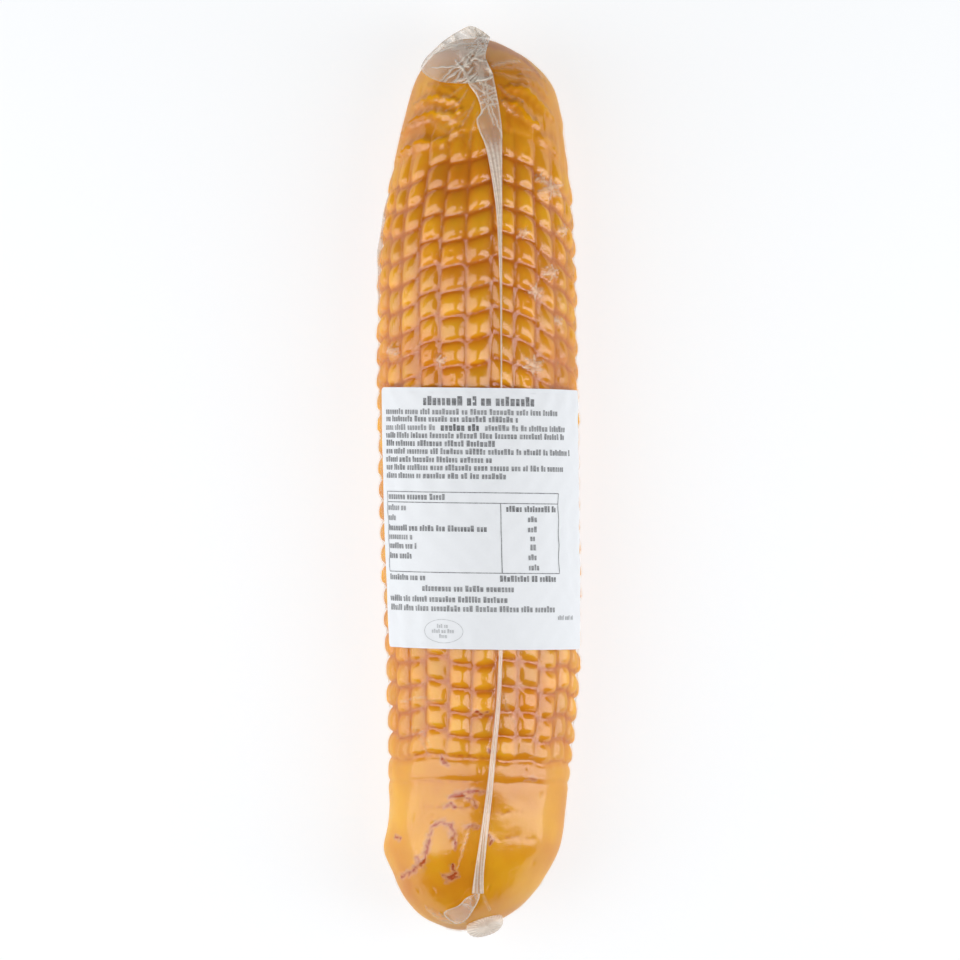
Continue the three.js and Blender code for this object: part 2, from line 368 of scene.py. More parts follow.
def shrink_film(colour, name, haze_floor, crinkle, threading):
    """Polyamide film blown thin and shrunk on: clear with a hard gloss, milky along its creases.

    It is haze_floor milky all over, crinkle is the strength of its waves, and threading is how far
    its milkiness breaks up into threads.
    """
    material, tree = new_material(name)
    place_on_piece = add(tree, "TexCoord").outputs["Object"]
    # Fine puckers about 2 mm long, drawn coarser than the film's own so that they show.
    stretched = add(tree, "Mapping", place_on_piece, Scale=(1.0, 1.6, 1.0))
    puckers = add(tree, "TexNoise", stretched, 1 / (2.2 * MM), 3.0, 0.55)
    # Under them the film lies in shallow waves some 7 mm across.
    waves = add(tree, "TexNoise", place_on_piece, 1 / (7 * MM), 2.0, 0.5)
    relief = add(tree, "Math.MULTIPLY_ADD", waves, 3.0, puckers)
    bump = add(tree, "Bump", crinkle, 0.3 * MM, Height=relief)
    # Its two faces together mirror about 8% face on, and up to 23% at a grazing look.
    facing = add(tree, "LayerWeight", 0.5).outputs["Facing"]
    fifth_power = add(tree, "Math.POWER", facing, 5.0)
    both_faces = add(tree, "Math.MULTIPLY_ADD", fifth_power, 0.15, 0.08, use_clamp=True)
    clear = add(tree, "BsdfTransparent", (1, 0.99, 0.975, 1))
    gloss = add(tree, "BsdfAnisotropic", Color=(1, 1, 1, 1), Roughness=0.2, Normal=bump)
    film = add(tree, "MixShader", both_faces, clear, gloss)
    milky_and_glint_shader = add(tree, "BsdfPrincipled", Base_Color=colour, Roughness=0.3, IOR=1.5, Normal=bump)
    # The milkiness, which also carries painted highlights, comes in threads, drawn 1.6 mm apart so
    # that they show.
    haze = add(tree, "Attribute", attribute_name="haze").outputs["Fac"]
    threads = add(tree, "TexNoise", stretched, 1 / (1.6 * MM), 4.0, 0.65)
    patches = add(tree, "MapRange", threads, 0.35, 0.65, 1 - threading, 1 + threading / 2)
    share = add(tree, "Math.MULTIPLY_ADD", haze, patches, haze_floor, use_clamp=True)
    surface = add(tree, "MixShader", share, film, milky_and_glint_shader)
    add(tree, "OutputMaterial", surface)
    return material


def label_stock(colours):
    """Coated label paper, calendered smooth: bluish white with a dull sheen and faint mottling."""
    material, tree = new_material("coated_label_paper")
    place_on_piece = add(tree, "TexCoord").outputs["Object"]
    fibres = add(tree, "TexNoise", place_on_piece, 1 / (0.8 * MM), 3.0, 0.6)
    shaded_paper = [c * 0.96 for c in colours.paper[:3]] + [1]
    colour = add(tree, "Mix", fibres, shaded_paper, colours.paper, data_type="RGBA")
    bump = add(tree, "Bump", 0.2, 0.05 * MM, Height=fibres)
    surface = add(tree, "BsdfPrincipled", Base_Color=colour, Normal=bump, Roughness=0.55, IOR=1.45)
    add(tree, "OutputMaterial", surface)
    return material


def thermal_ink(colours):
    """Thermal print on the paper: flat dark grey, a little worn, as dull as the paper."""
    material, tree = new_material("thermal_print")
    place_on_piece = add(tree, "TexCoord").outputs["Object"]
    wear = add(tree, "TexNoise", place_on_piece, 1 / (0.9 * MM), 3.0, 0.6)
    worn = add(tree, "MapRange", wear, 0.35, 0.75, 1.0, 0.6)
    # Small print has thin strokes, so its blocks are paler than the bold ones.
    blackness = add(tree, "Attribute", attribute_name="blackness").outputs["Fac"]
    inked = add(tree, "Math.MULTIPLY", blackness, worn)
    colour = add(tree, "Mix", inked, colours.paper, colours.ink, data_type="RGBA")
    surface = add(tree, "BsdfPrincipled", Base_Color=colour, Roughness=0.6)
    add(tree, "OutputMaterial", surface)
    return material


def light_table(colours):
    """Opal acrylic lit from below: a plain matt floor that stays almost white beside the log."""
    material, tree = new_material("lit_opal_acrylic")
    dimmed = [c * 0.45 for c in colours.floor[:3]] + [1]
    surface = add(tree, "BsdfPrincipled", Base_Color=dimmed, Roughness=0.9,
                  Emission_Color=colours.floor, Emission_Strength=0.9)
    add(tree, "OutputMaterial", surface)
    return material


# --- The net of pillows ---


def new_tree(name, inputs, output):
    """A new Geometry Nodes tree with sockets of (name, kind), and the outputs of its input node."""
    tree = bpy.data.node_groups.new(name, "GeometryNodeTree")
    for (label, kind), in_out in [(each, "INPUT") for each in inputs] + [(output, "OUTPUT")]:
        tree.interface.new_socket(name=label, in_out=in_out, socket_type="NodeSocket" + kind)
    return tree, add(tree, "NodeGroupInput").outputs


def row_drop_tree():
    """How far a row has dropped along the log at a turn, in metres."""
    tree, given = new_tree("Row drop", [("Turn", "Float"), ("Along", "Float")], ("Drop", "Float"))
    turn, along = given["Turn"], given["Along"]
    at_blunt, at_taper = (drop / math.sin(SIDE_TURN / 2) for drop in CHEVRON)
    chevron = add(tree, "MapRange", along, -55 * MM, 80 * MM, at_blunt, at_taper,
                  interpolation_type="SMOOTHSTEP")
    from_peak = add(tree, "Math.SUBTRACT", turn, CHEVRON_TURN)
    half_turn = add(tree, "Math.MULTIPLY", from_peak, 0.5)
    half_sine = add(tree, "Math.SINE", half_turn)
    outwards = add(tree, "Math.ABSOLUTE", half_sine)
    drop = add(tree, "Math.MULTIPLY", chevron, outwards)
    sine = add(tree, "Math.SINE", turn)
    tilted = add(tree, "Math.MULTIPLY_ADD", sine, ROW_TILT / math.sin(SIDE_TURN), drop)
    pitch = add(tree, "Math.MULTIPLY", net_share(tree, along), MEAN_PITCH * MM)
    add(tree, "NodeGroupOutput", add(tree, "Math.MULTIPLY", tilted, pitch))
    return tree


def net_share(tree, along, blunt=(-108, -74), taper=(110, 134)):
    """Adds nodes for 1 on the netted length, fading to 0 within a stretch at each end."""
    ends = [add(tree, "MapRange", along, first * MM, last * MM, *shares, interpolation_type="SMOOTHSTEP")
            for (first, last), shares in ((taper, (1.0, 0.0)), (blunt, (0.0, 1.0)))]
    return add(tree, "Math.MULTIPLY", *ends)


def pillow_net_tree():
    """Presses a net's grooves into a smooth log that carries its turn and along as attributes."""
    numbers = (
        "Columns", "First groove", "Row pitch", "Row easing", "Groove depth", "Groove width",
        "Groove roundness", "Tenting", "Haze and glint", "Unevenness", "Wander", "Floor")
    tree, given = new_tree(
        "Pillow net", [("Geometry", "Geometry"), *((name, "Float") for name in numbers),
                       ("Material", "Material")], ("Geometry", "Geometry"))
    turn, along = (add(tree, "GeometryNodeInputNamedAttribute", name, data_type="FLOAT")
                   for name in ("turn", "along"))
    position = add(tree, "GeometryNodeInputPosition")

    # The grooves wander: a slow noise moves both of a point's places in the net.
    drawn_out = add(tree, "VectorMath.MULTIPLY", position, (1.0, 0.3, 1.0))
    slow = add(tree, "TexNoise", drawn_out, 1 / (22 * MM), 1.0, 0.5)
    centred = add(tree, "VectorMath.SUBTRACT", slow.outputs["Color"], (0.5, 0.5, 0.5))
    strayed = add(tree, "SeparateXYZ", centred)
    stray_along, stray_across = (
        add(tree, "Math.MULTIPLY", strayed.outputs[axis], given["Wander"]) for axis in "YX")

    # Which column: grooves run half a column off the front.
    per_turn = add(tree, "Math.DIVIDE", given["Columns"], 2 * math.pi)
    stray_turn = add(tree, "Math.DIVIDE", stray_across, WIDEST * MM)
    net_turn = add(tree, "Math.ADD", turn, stray_turn)
    column = add(tree, "Math.MULTIPLY_ADD", net_turn, per_turn, 0.5)
    column_gap = add(tree, "Math.PINGPONG", column, 0.5)
    column_width = add(tree, "Math.DIVIDE", 2 * math.pi * WIDEST * MM, given["Columns"])
    column_distance = add(tree, "Math.MULTIPLY", column_gap, column_width)
    column_number = add(tree, "Math.FLOOR", column)
    wrapped = add(tree, "Math.FLOORED_MODULO", column_number, given["Columns"])

    # Undo the rows' drop, in two steps that close in on where the point was in the flat net.
    drop = row_drop_tree()
    undropped = along
    for _ in range(2):
        dropped = add(tree, "GeometryNodeGroup", turn, undropped, node_tree=drop)
        undropped = add(tree, "Math.ADD", along, dropped)
    column_share = net_share(tree, undropped, blunt=(-94, -76), taper=(100, 123))
    # Neighbouring columns are out of step by up to a sixth of a pitch.
    column_chance = add(tree, "TexWhiteNoise", add(tree, "CombineXYZ", wrapped, 0.5, 7.5))
    out_of_step = add(tree, "Math.SUBTRACT", column_chance, 0.5)
    step_share = add(tree, "Math.MULTIPLY", out_of_step, column_share)
    stepped = add(tree, "Math.MULTIPLY_ADD", step_share, MEAN_PITCH * MM / 3, undropped)
    net_along = add(tree, "Math.ADD", stepped, stray_along)

    # Which row: the pitch eases off, so the row number is the root of a quadratic.
    from_first = add(tree, "Math.SUBTRACT", given["First groove"], net_along)
    pitch_squared = add(tree, "Math.MULTIPLY", given["Row pitch"], given["Row pitch"])
    four_easings, two_easings = (
        add(tree, "Math.MULTIPLY", given["Row easing"], times) for times in (-4.0, 2.0))
    inner = add(tree, "Math.MULTIPLY_ADD", four_easings, from_first, pitch_squared)
    root = add(tree, "Math.SQRT", inner)
    numerator = add(tree, "Math.SUBTRACT", given["Row pitch"], root)
    row = add(tree, "Math.DIVIDE", numerator, two_easings)
    row_number = add(tree, "Math.FLOOR", row)
    below_groove = add(tree, "Math.SUBTRACT", row, row_number)
    row_share = net_share(tree, net_along, blunt=(-104, -78), taper=(102, 121))

    # A pillow is high away from its grooves. It leans like a scale: it rises slowly from the
    # groove above it, and ends in a steep rounded lip over the groove below.
    upper = add(tree, "MapRange", below_groove, 0.0, 0.66, 1.0, 0.0)
    lip = add(tree, "MapRange", below_groove, 1.0, 0.64, 1.0, 0.0)
    beside = add(tree, "MapRange", column_distance, 0.0, given["Groove width"], 1.0, 0.0)
    row_roundness = add(tree, "Math.MULTIPLY", given["Groove roundness"], 1.5)
    upper_fall, lip_fall, beside_fall = (
        add(tree, "Math.POWER", near, roundness)
        for near, roundness in ((upper, row_roundness), (lip, row_roundness),
                                (beside, given["Groove roundness"])))
    row_fall = add(tree, "Math.MULTIPLY", add(tree, "Math.MAXIMUM", upper_fall, lip_fall), row_share)
    column_fall = add(tree, "Math.MULTIPLY", beside_fall, column_share)
    along_side, across_side = (
        add(tree, "Math.SUBTRACT", 1.0, fall) for fall in (row_fall, column_fall))
    pillow = add(tree, "Math.MULTIPLY", along_side, across_side)
    groove = add(tree, "Math.SUBTRACT", 1.0, pillow)
    # Smoke colour and painted shade darken the rows' grooves more than the columns'; the shade is
    # painted under each pillow's lip.
    unsmoked_unshaded_side = add(tree, "Math.MULTIPLY_ADD", column_fall, -0.7, 1.0)
    unsmoked_unshaded = add(tree, "Math.MULTIPLY", along_side, unsmoked_unshaded_side)
    smoke_and_painted_shade = add(tree, "Math.SUBTRACT", 1.0, unsmoked_unshaded)
    # Film stretches straight over the crossings, and stands higher there than along a groove.
    crossing = add(tree, "Math.MULTIPLY", row_fall, column_fall)
    tented = add(tree, "Math.MULTIPLY", crossing, given["Tenting"])
    slack = add(tree, "Math.SUBTRACT", 1.0, tented)

    # Where it bridges a row's groove or tents over a crossing, the film is drawn milky in places;
    # this milkiness is also a painted highlight on the pillows' lower lips and the crossings.
    lips = add(tree, "Math.MULTIPLY", lip_fall, row_share)
    bridging = add(tree, "Math.MULTIPLY_ADD", crossing, 0.45, lips)
    drawn_milky_and_glint = add(tree, "Math.POWER", bridging, 1.4)
    places = add(tree, "TexNoise", position, 1 / (14 * MM), 2.0, 0.6)
    in_places = add(tree, "MapRange", places, 0.48, 0.68, 0.1, 3.0)
    drawn_milky_and_glint_in_places = add(tree, "Math.MULTIPLY", drawn_milky_and_glint, in_places)
    haze = add(tree, "Math.MULTIPLY", drawn_milky_and_glint_in_places, given["Haze and glint"])

    # Each pillow has a height of its own, all are a little dented, and a few have a dimple.
    chance = add(tree, "TexWhiteNoise", add(tree, "CombineXYZ", row_number, wrapped, 0.5))
    chance_centred = add(tree, "Math.SUBTRACT", chance, 0.5)
    own_tint = add(tree, "Math.MULTIPLY", chance_centred, column_share)
    risen = add(tree, "Math.MULTIPLY", pillow, column_share)
    own_height = add(tree, "Math.MULTIPLY", chance_centred, risen)
    dents = add(tree, "TexNoise", position, 1 / (9 * MM), 2.0, 0.5)
    dent = add(tree, "Math.SUBTRACT", dents, 0.5)
    rough_height = add(tree, "Math.ADD", own_height, dent)
    uneven = add(tree, "Math.MULTIPLY", rough_height, given["Unevenness"])
    dimpled = add(tree, "Math.GREATER_THAN", chance, 0.8)
    row_gap = add(tree, "Math.ABSOLUTE", add(tree, "Math.SUBTRACT", below_groove, 0.5))
    off_row, off_column = (
        add(tree, "MapRange", distance, rim, floor, 0.0, 1.0, interpolation_type="SMOOTHSTEP")
        for distance, rim, floor in ((row_gap, 0.2, 0.03), (column_distance, 2.9 * MM, 4.2 * MM)))
    pit = add(tree, "Math.MULTIPLY", off_row, off_column)
    dimple = add(tree, "Math.MULTIPLY", pit, dimpled)
    dimple_depth = add(tree, "Math.MULTIPLY", dimple, 0.35 * MM)
    pitted = add(tree, "Math.SUBTRACT", uneven, dimple_depth)
    bridged = add(tree, "Math.MULTIPLY", groove, slack)
    sunk = add(tree, "Math.MULTIPLY", bridged, given["Groove depth"])
    height = add(tree, "Math.SUBTRACT", pitted, sunk)
    push = add(tree, "VectorMath.SCALE", add(tree, "GeometryNodeInputNormal"), Scale=height)
    pressed = add(tree, "GeometryNodeSetPosition", given["Geometry"], Offset=push)

    # Nothing goes below the surface that the log rests on.
    where = add(tree, "SeparateXYZ", add(tree, "GeometryNodeInputPosition")).outputs
    raised = add(tree, "Math.MAXIMUM", where["Z"], given["Floor"])
    floored_place = add(tree, "CombineXYZ", where["X"], where["Y"], raised)
    kept = add(tree, "GeometryNodeSetPosition", pressed, True, floored_place)
    for name, value in (("groove", smoke_and_painted_shade), ("pillow", own_tint), ("haze", haze)):
        kept = add(tree, "GeometryNodeStoreNamedAttribute", kept, True, name, value,
                   data_type="FLOAT", domain="POINT")
    whole = add(tree, "GeometryNodeRealizeInstances", kept)
    add(tree, "NodeGroupOutput", add(tree, "GeometryNodeSetMaterial", whole, True, given["Material"]))
    return tree


# Lumps and hollows of the whole log, which the bag follows: turn in degrees, along, and the
# half sizes across and along, all in mm but the turn, and the height.
LUMPS = [
    (-92, -118, 9, 5, 1.2),
    (-80, -106, 9, 7, -0.6),
    (72, 136, 12, 7, -1.0),
    (-35, 116, 14, 9, -0.7),
    (25, 108, 10, 8, 0.5),
    (10, -112, 14, 8, -0.5),
    (-30, -118, 9, 7, 0.6),
]


def lumps_at(turn, along):
    """The height of the lumps and hollows at points on the log, in mm."""
    height = np.zeros(np.broadcast(turn, along).shape)
    for middle, middle_along, across_size, along_size, rise in LUMPS:
        across = (np.mod(turn - math.radians(middle) + math.pi, 2 * math.pi) - math.pi) * radius_at(along)
        height += rise * np.exp(-(across / across_size) ** 2 - ((along - middle_along) / along_size) ** 2)
    return height


def stations_along(count):
    """Places along the log, evenly spaced over its surface, but sparser where the label hides it."""
    swing = np.cos(np.linspace(0, math.pi, 8000))
    fine = (BLUNT_END + TAPER_END) / 2 - (TAPER_END - BLUNT_END) / 2 * swing
    steps = np.hypot(np.diff(fine), np.diff(radius_at(fine)))
    middle = (fine[1:] + fine[:-1]) / 2
    overlap, hidden_density = 4, 0.65
    hidden = (middle > LABEL_ALONG[0] + overlap) & (middle < LABEL_ALONG[1] - overlap)
    distance = np.append(0, np.cumsum(steps * np.where(hidden, hidden_density, 1.0)))
    return np.interp(np.linspace(0, distance[-1], count), distance, fine)


def smooth_log(name, sizes, lift, floor):
    """A smooth closed log that carries its turn and along, ready for the net."""
    around = sizes.around
    along = stations_along(sizes.lengthwise)
    inner = along[1:-1]
    # Points crowd together on the front, which carries the finest detail.
    even, crowded = 0.68, 0.32
    swing = np.linspace(-1, 1, around, endpoint=False)
    turn = math.pi * (even * swing + crowded * swing**3)
    turns, alongs = np.meshgrid(turn, inner)
    points = log_points(turns, alongs, lift + lumps_at(turns, alongs), floor)
    tips = log_points([0.0, 0.0], np.array([along[0], along[-1]]), lift)
    tips[:, 2] = axis_height_at(along[[0, -1]]) * MM
    faces = grid_faces(len(inner), around, wraps=True)
    last = turns.size
    top_row = last - around
    for c in range(around):
        d = (c + 1) % around
        faces.append((last, d, c))
        faces.append((last + 1, top_row + c, top_row + d))
    everything = np.vstack([points.reshape(-1, 3), tips])
    attributes = {
        "turn": np.append(turns.ravel(), [0, 0]),
        "along": np.append(alongs.ravel(), along[[0, -1]]) * MM,
    }
    return mesh_object(name, everything, faces, attributes)


def netted(name, sizes, lift, floor, depth, roundness, tenting, haze, material):
    """A log with the net pressed into it, as a plain mesh."""
    smooth = smooth_log(name + "_smooth", sizes, lift, floor)
    tree = bpy.data.node_groups.get("Pillow net") or pillow_net_tree()
    values = {
        "Columns": float(COLUMNS), "First groove": FIRST_GROOVE * MM, "Row pitch": ROW_PITCH * MM,
        "Row easing": ROW_EASING * MM, "Groove depth": depth,
        "Groove width": sizes.groove_width, "Groove roundness": roundness, "Tenting": tenting,
        "Haze and glint": haze, "Unevenness": sizes.unevenness, "Wander": sizes.wander,
        "Floor": floor * MM, "Material": material,
    }
    run_tree(smooth, tree, **values)
    return baked(smooth, name)


# --- Marks and folds, at places seen from the front ---


def values_of(piece, key):
    """A named value of every vertex of a piece."""
    values = np.empty(len(piece.data.vertices), np.float32)
    piece.data.attributes[key].data.foreach_get("value", values)
    return values


def give_values(piece, key, values):
    """Stores a named value on every vertex of a piece."""
    layer = piece.data.attributes.get(key) or piece.data.attributes.new(key, "FLOAT", "POINT")
    layer.data.foreach_set("value", np.asarray(values, np.float32).ravel())


def raise_surface(piece, height, floor):
    """Moves every vertex of a piece off its surface by height mm, but not below the floor."""
    mesh = piece.data
    places = np.empty(len(mesh.vertices) * 3, np.float32)
    normals = np.empty(len(mesh.vertices) * 3, np.float32)
    mesh.vertices.foreach_get("co", places)
    mesh.vertex_normals.foreach_get("vector", normals)
    places = places.reshape(-1, 3) + normals.reshape(-1, 3) * np.asarray(height)[:, None] * MM
    places[:, 2] = np.maximum(places[:, 2], floor * MM)
    mesh.vertices.foreach_set("co", places.ravel())
    mesh.update()


def near_route(x, y, route, width, ripple):
    """1 on a route through flat places, fading over width mm to its sides, and thin at its ends.

    A small ripple, in mm, keeps the line from looking ruled.
    """
    x = x + ripple * (np.sin(2.1 * y + 0.9 * x) + 0.5 * np.sin(4.7 * y - 1.3 * x))
    y = y + ripple * np.sin(1.9 * x - 0.7 * y)
    stops = np.array(route, float)
    lengths = np.hypot(*np.diff(stops, axis=0).T)
    nearest = np.full(np.shape(x), 1e3)
    share = np.zeros(np.shape(x))
    walked = 0.0
    for start, step, length in zip(stops, np.diff(stops, axis=0), lengths):
        part = np.clip(((x - start[0]) * step[0] + (y - start[1]) * step[1]) / length**2, 0, 1)
        distance = np.hypot(x - start[0] - part * step[0], y - start[1] - part * step[1])
        closer = distance < nearest
        nearest = np.where(closer, distance, nearest)
        share = np.where(closer, (walked + part * length) / lengths.sum(), share)
        walked += length
    swell = np.clip(4 * share * (1 - share), 0.04, 1) ** 0.4
    return np.exp(-((nearest / (width * swell)) ** 2))


def stroke(piece, route, width, ripple=0.3):
    """Like near_route, for every vertex of a log and a route of (across, along) places."""
    turn, along = values_of(piece, "turn"), values_of(piece, "along") / MM
    stops = np.array(route, float)
    arcs = front_turn(stops[:, 0], stops[:, 1]) * radius_at(stops[:, 1])
    return near_route(turn * radius_at(along), along, np.stack([arcs, stops[:, 1]], axis=-1), width, ripple)


def ribbon(left, right, first, last, rows, columns):
    """Grids of (across, along, share across) between two edges of (along, across) pairs."""
    along = np.linspace(first, last, rows)[:, None]
    share = np.broadcast_to(np.linspace(0, 1, columns), (rows, columns))
    left_edge, right_edge = reader(left)(along), reader(right)(along)
    return left_edge + (right_edge - left_edge) * share, np.broadcast_to(along, share.shape), share


def crumple(x, y, rng, middle, count, reach, width):
    """Sharp creases running out from a middle: 1 on a crease, fading over width mm."""
    height = np.zeros(np.shape(x))
    for angle in rng.uniform(0, 2 * math.pi, count):
        start = np.array(middle) + rng.normal(0, reach / 6, 2)
        end = start + rng.uniform(0.4, 1.0) * reach * np.array([math.cos(angle), math.sin(angle)])
        height = np.maximum(height, near_route(x, y, [start, end], width, 0.12))
    return height


# --- The label and its print ---

PAPER_RADIUS = WIDEST + 0.9
LABEL_WIDTH = math.radians(LABEL_TURNS[1] - LABEL_TURNS[0]) * PAPER_RADIUS
LABEL_HEIGHT = LABEL_ALONG[1] - LABEL_ALONG[0]
LABEL_CORNER = 1.5
LABEL_THICKNESS = 0.12


def label_grid():
    """Flat places on the label, in mm from its lower left corner, with its corners rounded."""
    near = np.array([0, 0.06, 0.2, 0.42, 0.75, 1.1]) * LABEL_CORNER
    middle = np.linspace(LABEL_CORNER, LABEL_HEIGHT - LABEL_CORNER, 110)
    v = np.concatenate([near, middle, LABEL_HEIGHT - near[::-1]])[:, None]
    from_end = np.minimum(np.minimum(v, LABEL_HEIGHT - v), LABEL_CORNER)
    inset = LABEL_CORNER - np.sqrt(LABEL_CORNER**2 - (LABEL_CORNER - from_end) ** 2)
    share = np.linspace(0, 1, 150)
    u = inset + (LABEL_WIDTH - 2 * inset) * share
    return u, np.broadcast_to(v, u.shape)


def label_points(u, v, lift):
    """Points in metres on the label, whose paper ripples over the pillows under it."""
    ripple = 0.2 * np.sin(u * 0.74 + 0.5 * np.sin(v * 0.21)) * (0.4 + 0.6 * np.sin(v * 0.13 + u * 0.05))
    dents = 0.14 * np.sin(v * 0.75 + 1.2 * np.sin(u * 0.16)) * np.sin(u * 0.73)
    long_fold = 0.3 * np.exp(-(((u - 50 + 3 * np.sin(v * 0.06)) / 2.2) ** 2))
    turn = np.radians(LABEL_TURNS[0] + (LABEL_TURNS[1] - LABEL_TURNS[0]) * u / LABEL_WIDTH)
    along = LABEL_ALONG[0] + v - LABEL_TILT * (u - LABEL_WIDTH / 2)
    return log_points(turn, along, lift + ripple + dents + long_fold)


# The print is made of plain blocks in place of words. Each line: distance down from the top
# edge, where it starts and ends from the left edge, height of its blocks, and blackness.
PRINTED_LINES = [
    (4.5, 20.5, 58.5, 2.3, 0.95), (7.8, 3.2, 67.6, 1.45, 0.8), (10.1, 3.2, 51.8, 1.45, 0.85),
    (12.8, 3.2, 25.0, 1.45, 0.75), (12.8, 26.5, 39.0, 1.7, 1.0), (12.8, 40.6, 70.7, 1.45, 0.8),
    (15.3, 3.2, 70.1, 1.45, 0.85), (17.8, 3.2, 45.2, 1.5, 0.9), (20.3, 3.2, 73.6, 1.45, 0.85),
    (22.9, 3.2, 43.2, 1.45, 0.85), (25.4, 3.2, 69.6, 1.45, 0.85), (28.0, 3.2, 48.5, 1.45, 0.85),
    (34.7, 4.0, 27.5, 1.5, 0.85), (38.2, 3.6, 13.0, 1.45, 0.75), (41.4, 3.6, 8.5, 1.45, 0.75),
    (44.6, 3.6, 41.2, 1.5, 0.9), (47.4, 3.6, 15.1, 1.45, 0.75), (50.3, 3.6, 17.8, 1.45, 0.85),
    (53.4, 3.6, 15.5, 1.5, 0.85), (38.2, 47.0, 66.0, 1.5, 0.95), (41.4, 54.2, 58.0, 1.45, 0.85),
    (44.6, 54.2, 58.0, 1.45, 0.85), (47.4, 55.0, 57.4, 1.45, 0.85), (50.3, 55.0, 57.4, 1.45, 0.85),
    (53.4, 54.2, 58.0, 1.45, 0.85), (56.6, 54.2, 58.4, 1.45, 0.85), (60.2, 3.2, 20.4, 1.45, 0.85),
    (60.2, 44.5, 66.2, 1.5, 0.9), (63.5, 18.5, 49.8, 1.5, 0.85), (66.9, 3.0, 48.1, 1.5, 0.85),
    (69.8, 3.0, 64.4, 1.5, 0.8), (72.4, 65.8, 74.6, 1.1, 0.6), (75.3, 23.4, 27.6, 1.0, 0.45),
    (76.9, 21.4, 29.8, 1.0, 0.45), (78.5, 24.0, 27.0, 1.0, 0.45),
]
# Rules: from (left, down) to (left, down).
PRINTED_RULES = [
    ((3.2, 33.0), (66.7, 33.0)), ((3.2, 36.3), (66.7, 36.3)), ((3.2, 58.3), (66.7, 58.3)),
    ((3.2, 33.0), (3.2, 58.3)), ((66.7, 33.0), (66.7, 58.3)), ((45.2, 36.3), (45.2, 58.3)),
]
OVAL = {"middle": (25.5, 76.8), "half_sizes": (6.7, 3.7), "parts": 48}


def word_blocks(rng):
    """Blocks in rows like words: (left, down, width, height, angle, blackness) of each."""
    # As shares of a line's height.
    narrowest, widest, tallest, letter_gap, word_gap = 0.42, 0.68, 1.28, 0.2, 0.45
    blocks = []
    for down, left, end, height, blackness in PRINTED_LINES:
        place_across = left
        letters = rng.integers(3, 10)
        while place_across < end:
            width = height * rng.uniform(narrowest, widest)
            tall = height * (tallest if rng.random() < 0.3 else 1.0)
            if place_across + width > end:
                break
            blocks.append((place_across + width / 2, down - (tall - height) / 2, width, tall, 0.0, blackness))
            letters -= 1
            place_across += width + height * letter_gap
            if letters == 0:
                place_across += height * word_gap
                letters = rng.integers(2, 10)
    return blocks


def rule_blocks():
    """The table's rules and the oval, in the same form as the word blocks."""
    rule_weight, oval_weight, overlap = 0.28, 0.2, 1.1
    blocks = []
    for (left, top), (right, bottom) in PRINTED_RULES:
        length = math.hypot(right - left, bottom - top)
        angle = math.atan2(top - bottom, right - left)
        blocks.append(((left + right) / 2, (top + bottom) / 2, length, rule_weight, angle, 0.9))
    parts = np.linspace(0, 2 * math.pi, OVAL["parts"], endpoint=False)
    ring = np.array(OVAL["middle"]) + np.stack([np.cos(parts), np.sin(parts)], axis=-1) * OVAL["half_sizes"]
    for (x0, y0), (x1, y1) in zip(ring, np.roll(ring, -1, axis=0)):
        length = math.hypot(x1 - x0, y1 - y0) * overlap
        angle = math.atan2(y0 - y1, x1 - x0)
        blocks.append(((x0 + x1) / 2, (y0 + y1) / 2, length, oval_weight, angle, 0.4))
    return blocks


def print_tree():
    """Prints a block at every point, laid flat on a sheet by the sheet's own flat map."""
    tree, given = new_tree("Label print", [
        ("Geometry", "Geometry"), ("Sheet", "Object"), ("Sheet width", "Float"),
        ("Sheet height", "Float"), ("Steps", "Int"), ("Rise", "Float"), ("Ink", "Material"),
    ], ("Geometry", "Geometry"))
    width, height, angle = (
        add(tree, "GeometryNodeInputNamedAttribute", name, data_type="FLOAT")
        for name in ("width", "height", "angle"))
    block = add(tree, "GeometryNodeMeshGrid", 1.0, 1.0, given["Steps"], 2)
    turned = add(tree, "FunctionNodeAxisAngleToRotation", (0.0, 0.0, 1.0), angle)
    size = add(tree, "CombineXYZ", width, height, 1.0)
    blocks = add(tree, "GeometryNodeInstanceOnPoints", given["Geometry"], True, block, False, 0, turned, size)
    laid = add(tree, "GeometryNodeRealizeInstances", blocks)
    sheet_size = add(tree, "CombineXYZ", given["Sheet width"], given["Sheet height"], 1.0)
    flat_place = add(tree, "VectorMath.DIVIDE", add(tree, "GeometryNodeInputPosition"), sheet_size)
    sheet = add(tree, "GeometryNodeObjectInfo", given["Sheet"]).outputs["Geometry"]
    flat_map = add(tree, "GeometryNodeInputNamedAttribute", "flat", data_type="FLOAT_VECTOR")
    surface_place, surface_normal = (
        add(tree, "GeometryNodeSampleUVSurface", sheet, add(tree, value), flat_map, flat_place,
            data_type="FLOAT_VECTOR").outputs["Value"]
        for value in ("GeometryNodeInputPosition", "GeometryNodeInputNormal"))
    proud = add(tree, "VectorMath.SCALE", surface_normal, Scale=given["Rise"])
    wrapped = add(tree, "GeometryNodeSetPosition", laid, True, surface_place, proud)
    add(tree, "NodeGroupOutput", add(tree, "GeometryNodeSetMaterial", wrapped, True, given["Ink"]))
    return tree


def print_label(face, ink):
    """Prints the word blocks and the rules on the label's face, as two pieces."""
    tree = print_tree()
    for name, blocks, steps in (("label_words", word_blocks(np.random.default_rng(3)), 2),
                                ("label_rules", rule_blocks(), 90)):
        left, down, width, height, angle, blackness = np.array(blocks).T
        points = np.stack([left, LABEL_HEIGHT - down, np.zeros(len(left))], axis=-1) * MM
        values = {"width": width * MM, "height": height * MM, "angle": angle, "blackness": blackness}
        spots = mesh_object(name + "_spots", points, [], values)
        run_tree(spots, tree, **{
            "Sheet": face, "Sheet width": LABEL_WIDTH * MM, "Sheet height": LABEL_HEIGHT * MM,
            "Steps": steps, "Rise": 0.07 * MM, "Ink": ink,
        })
        place(baked(spots, name), "label_paper")


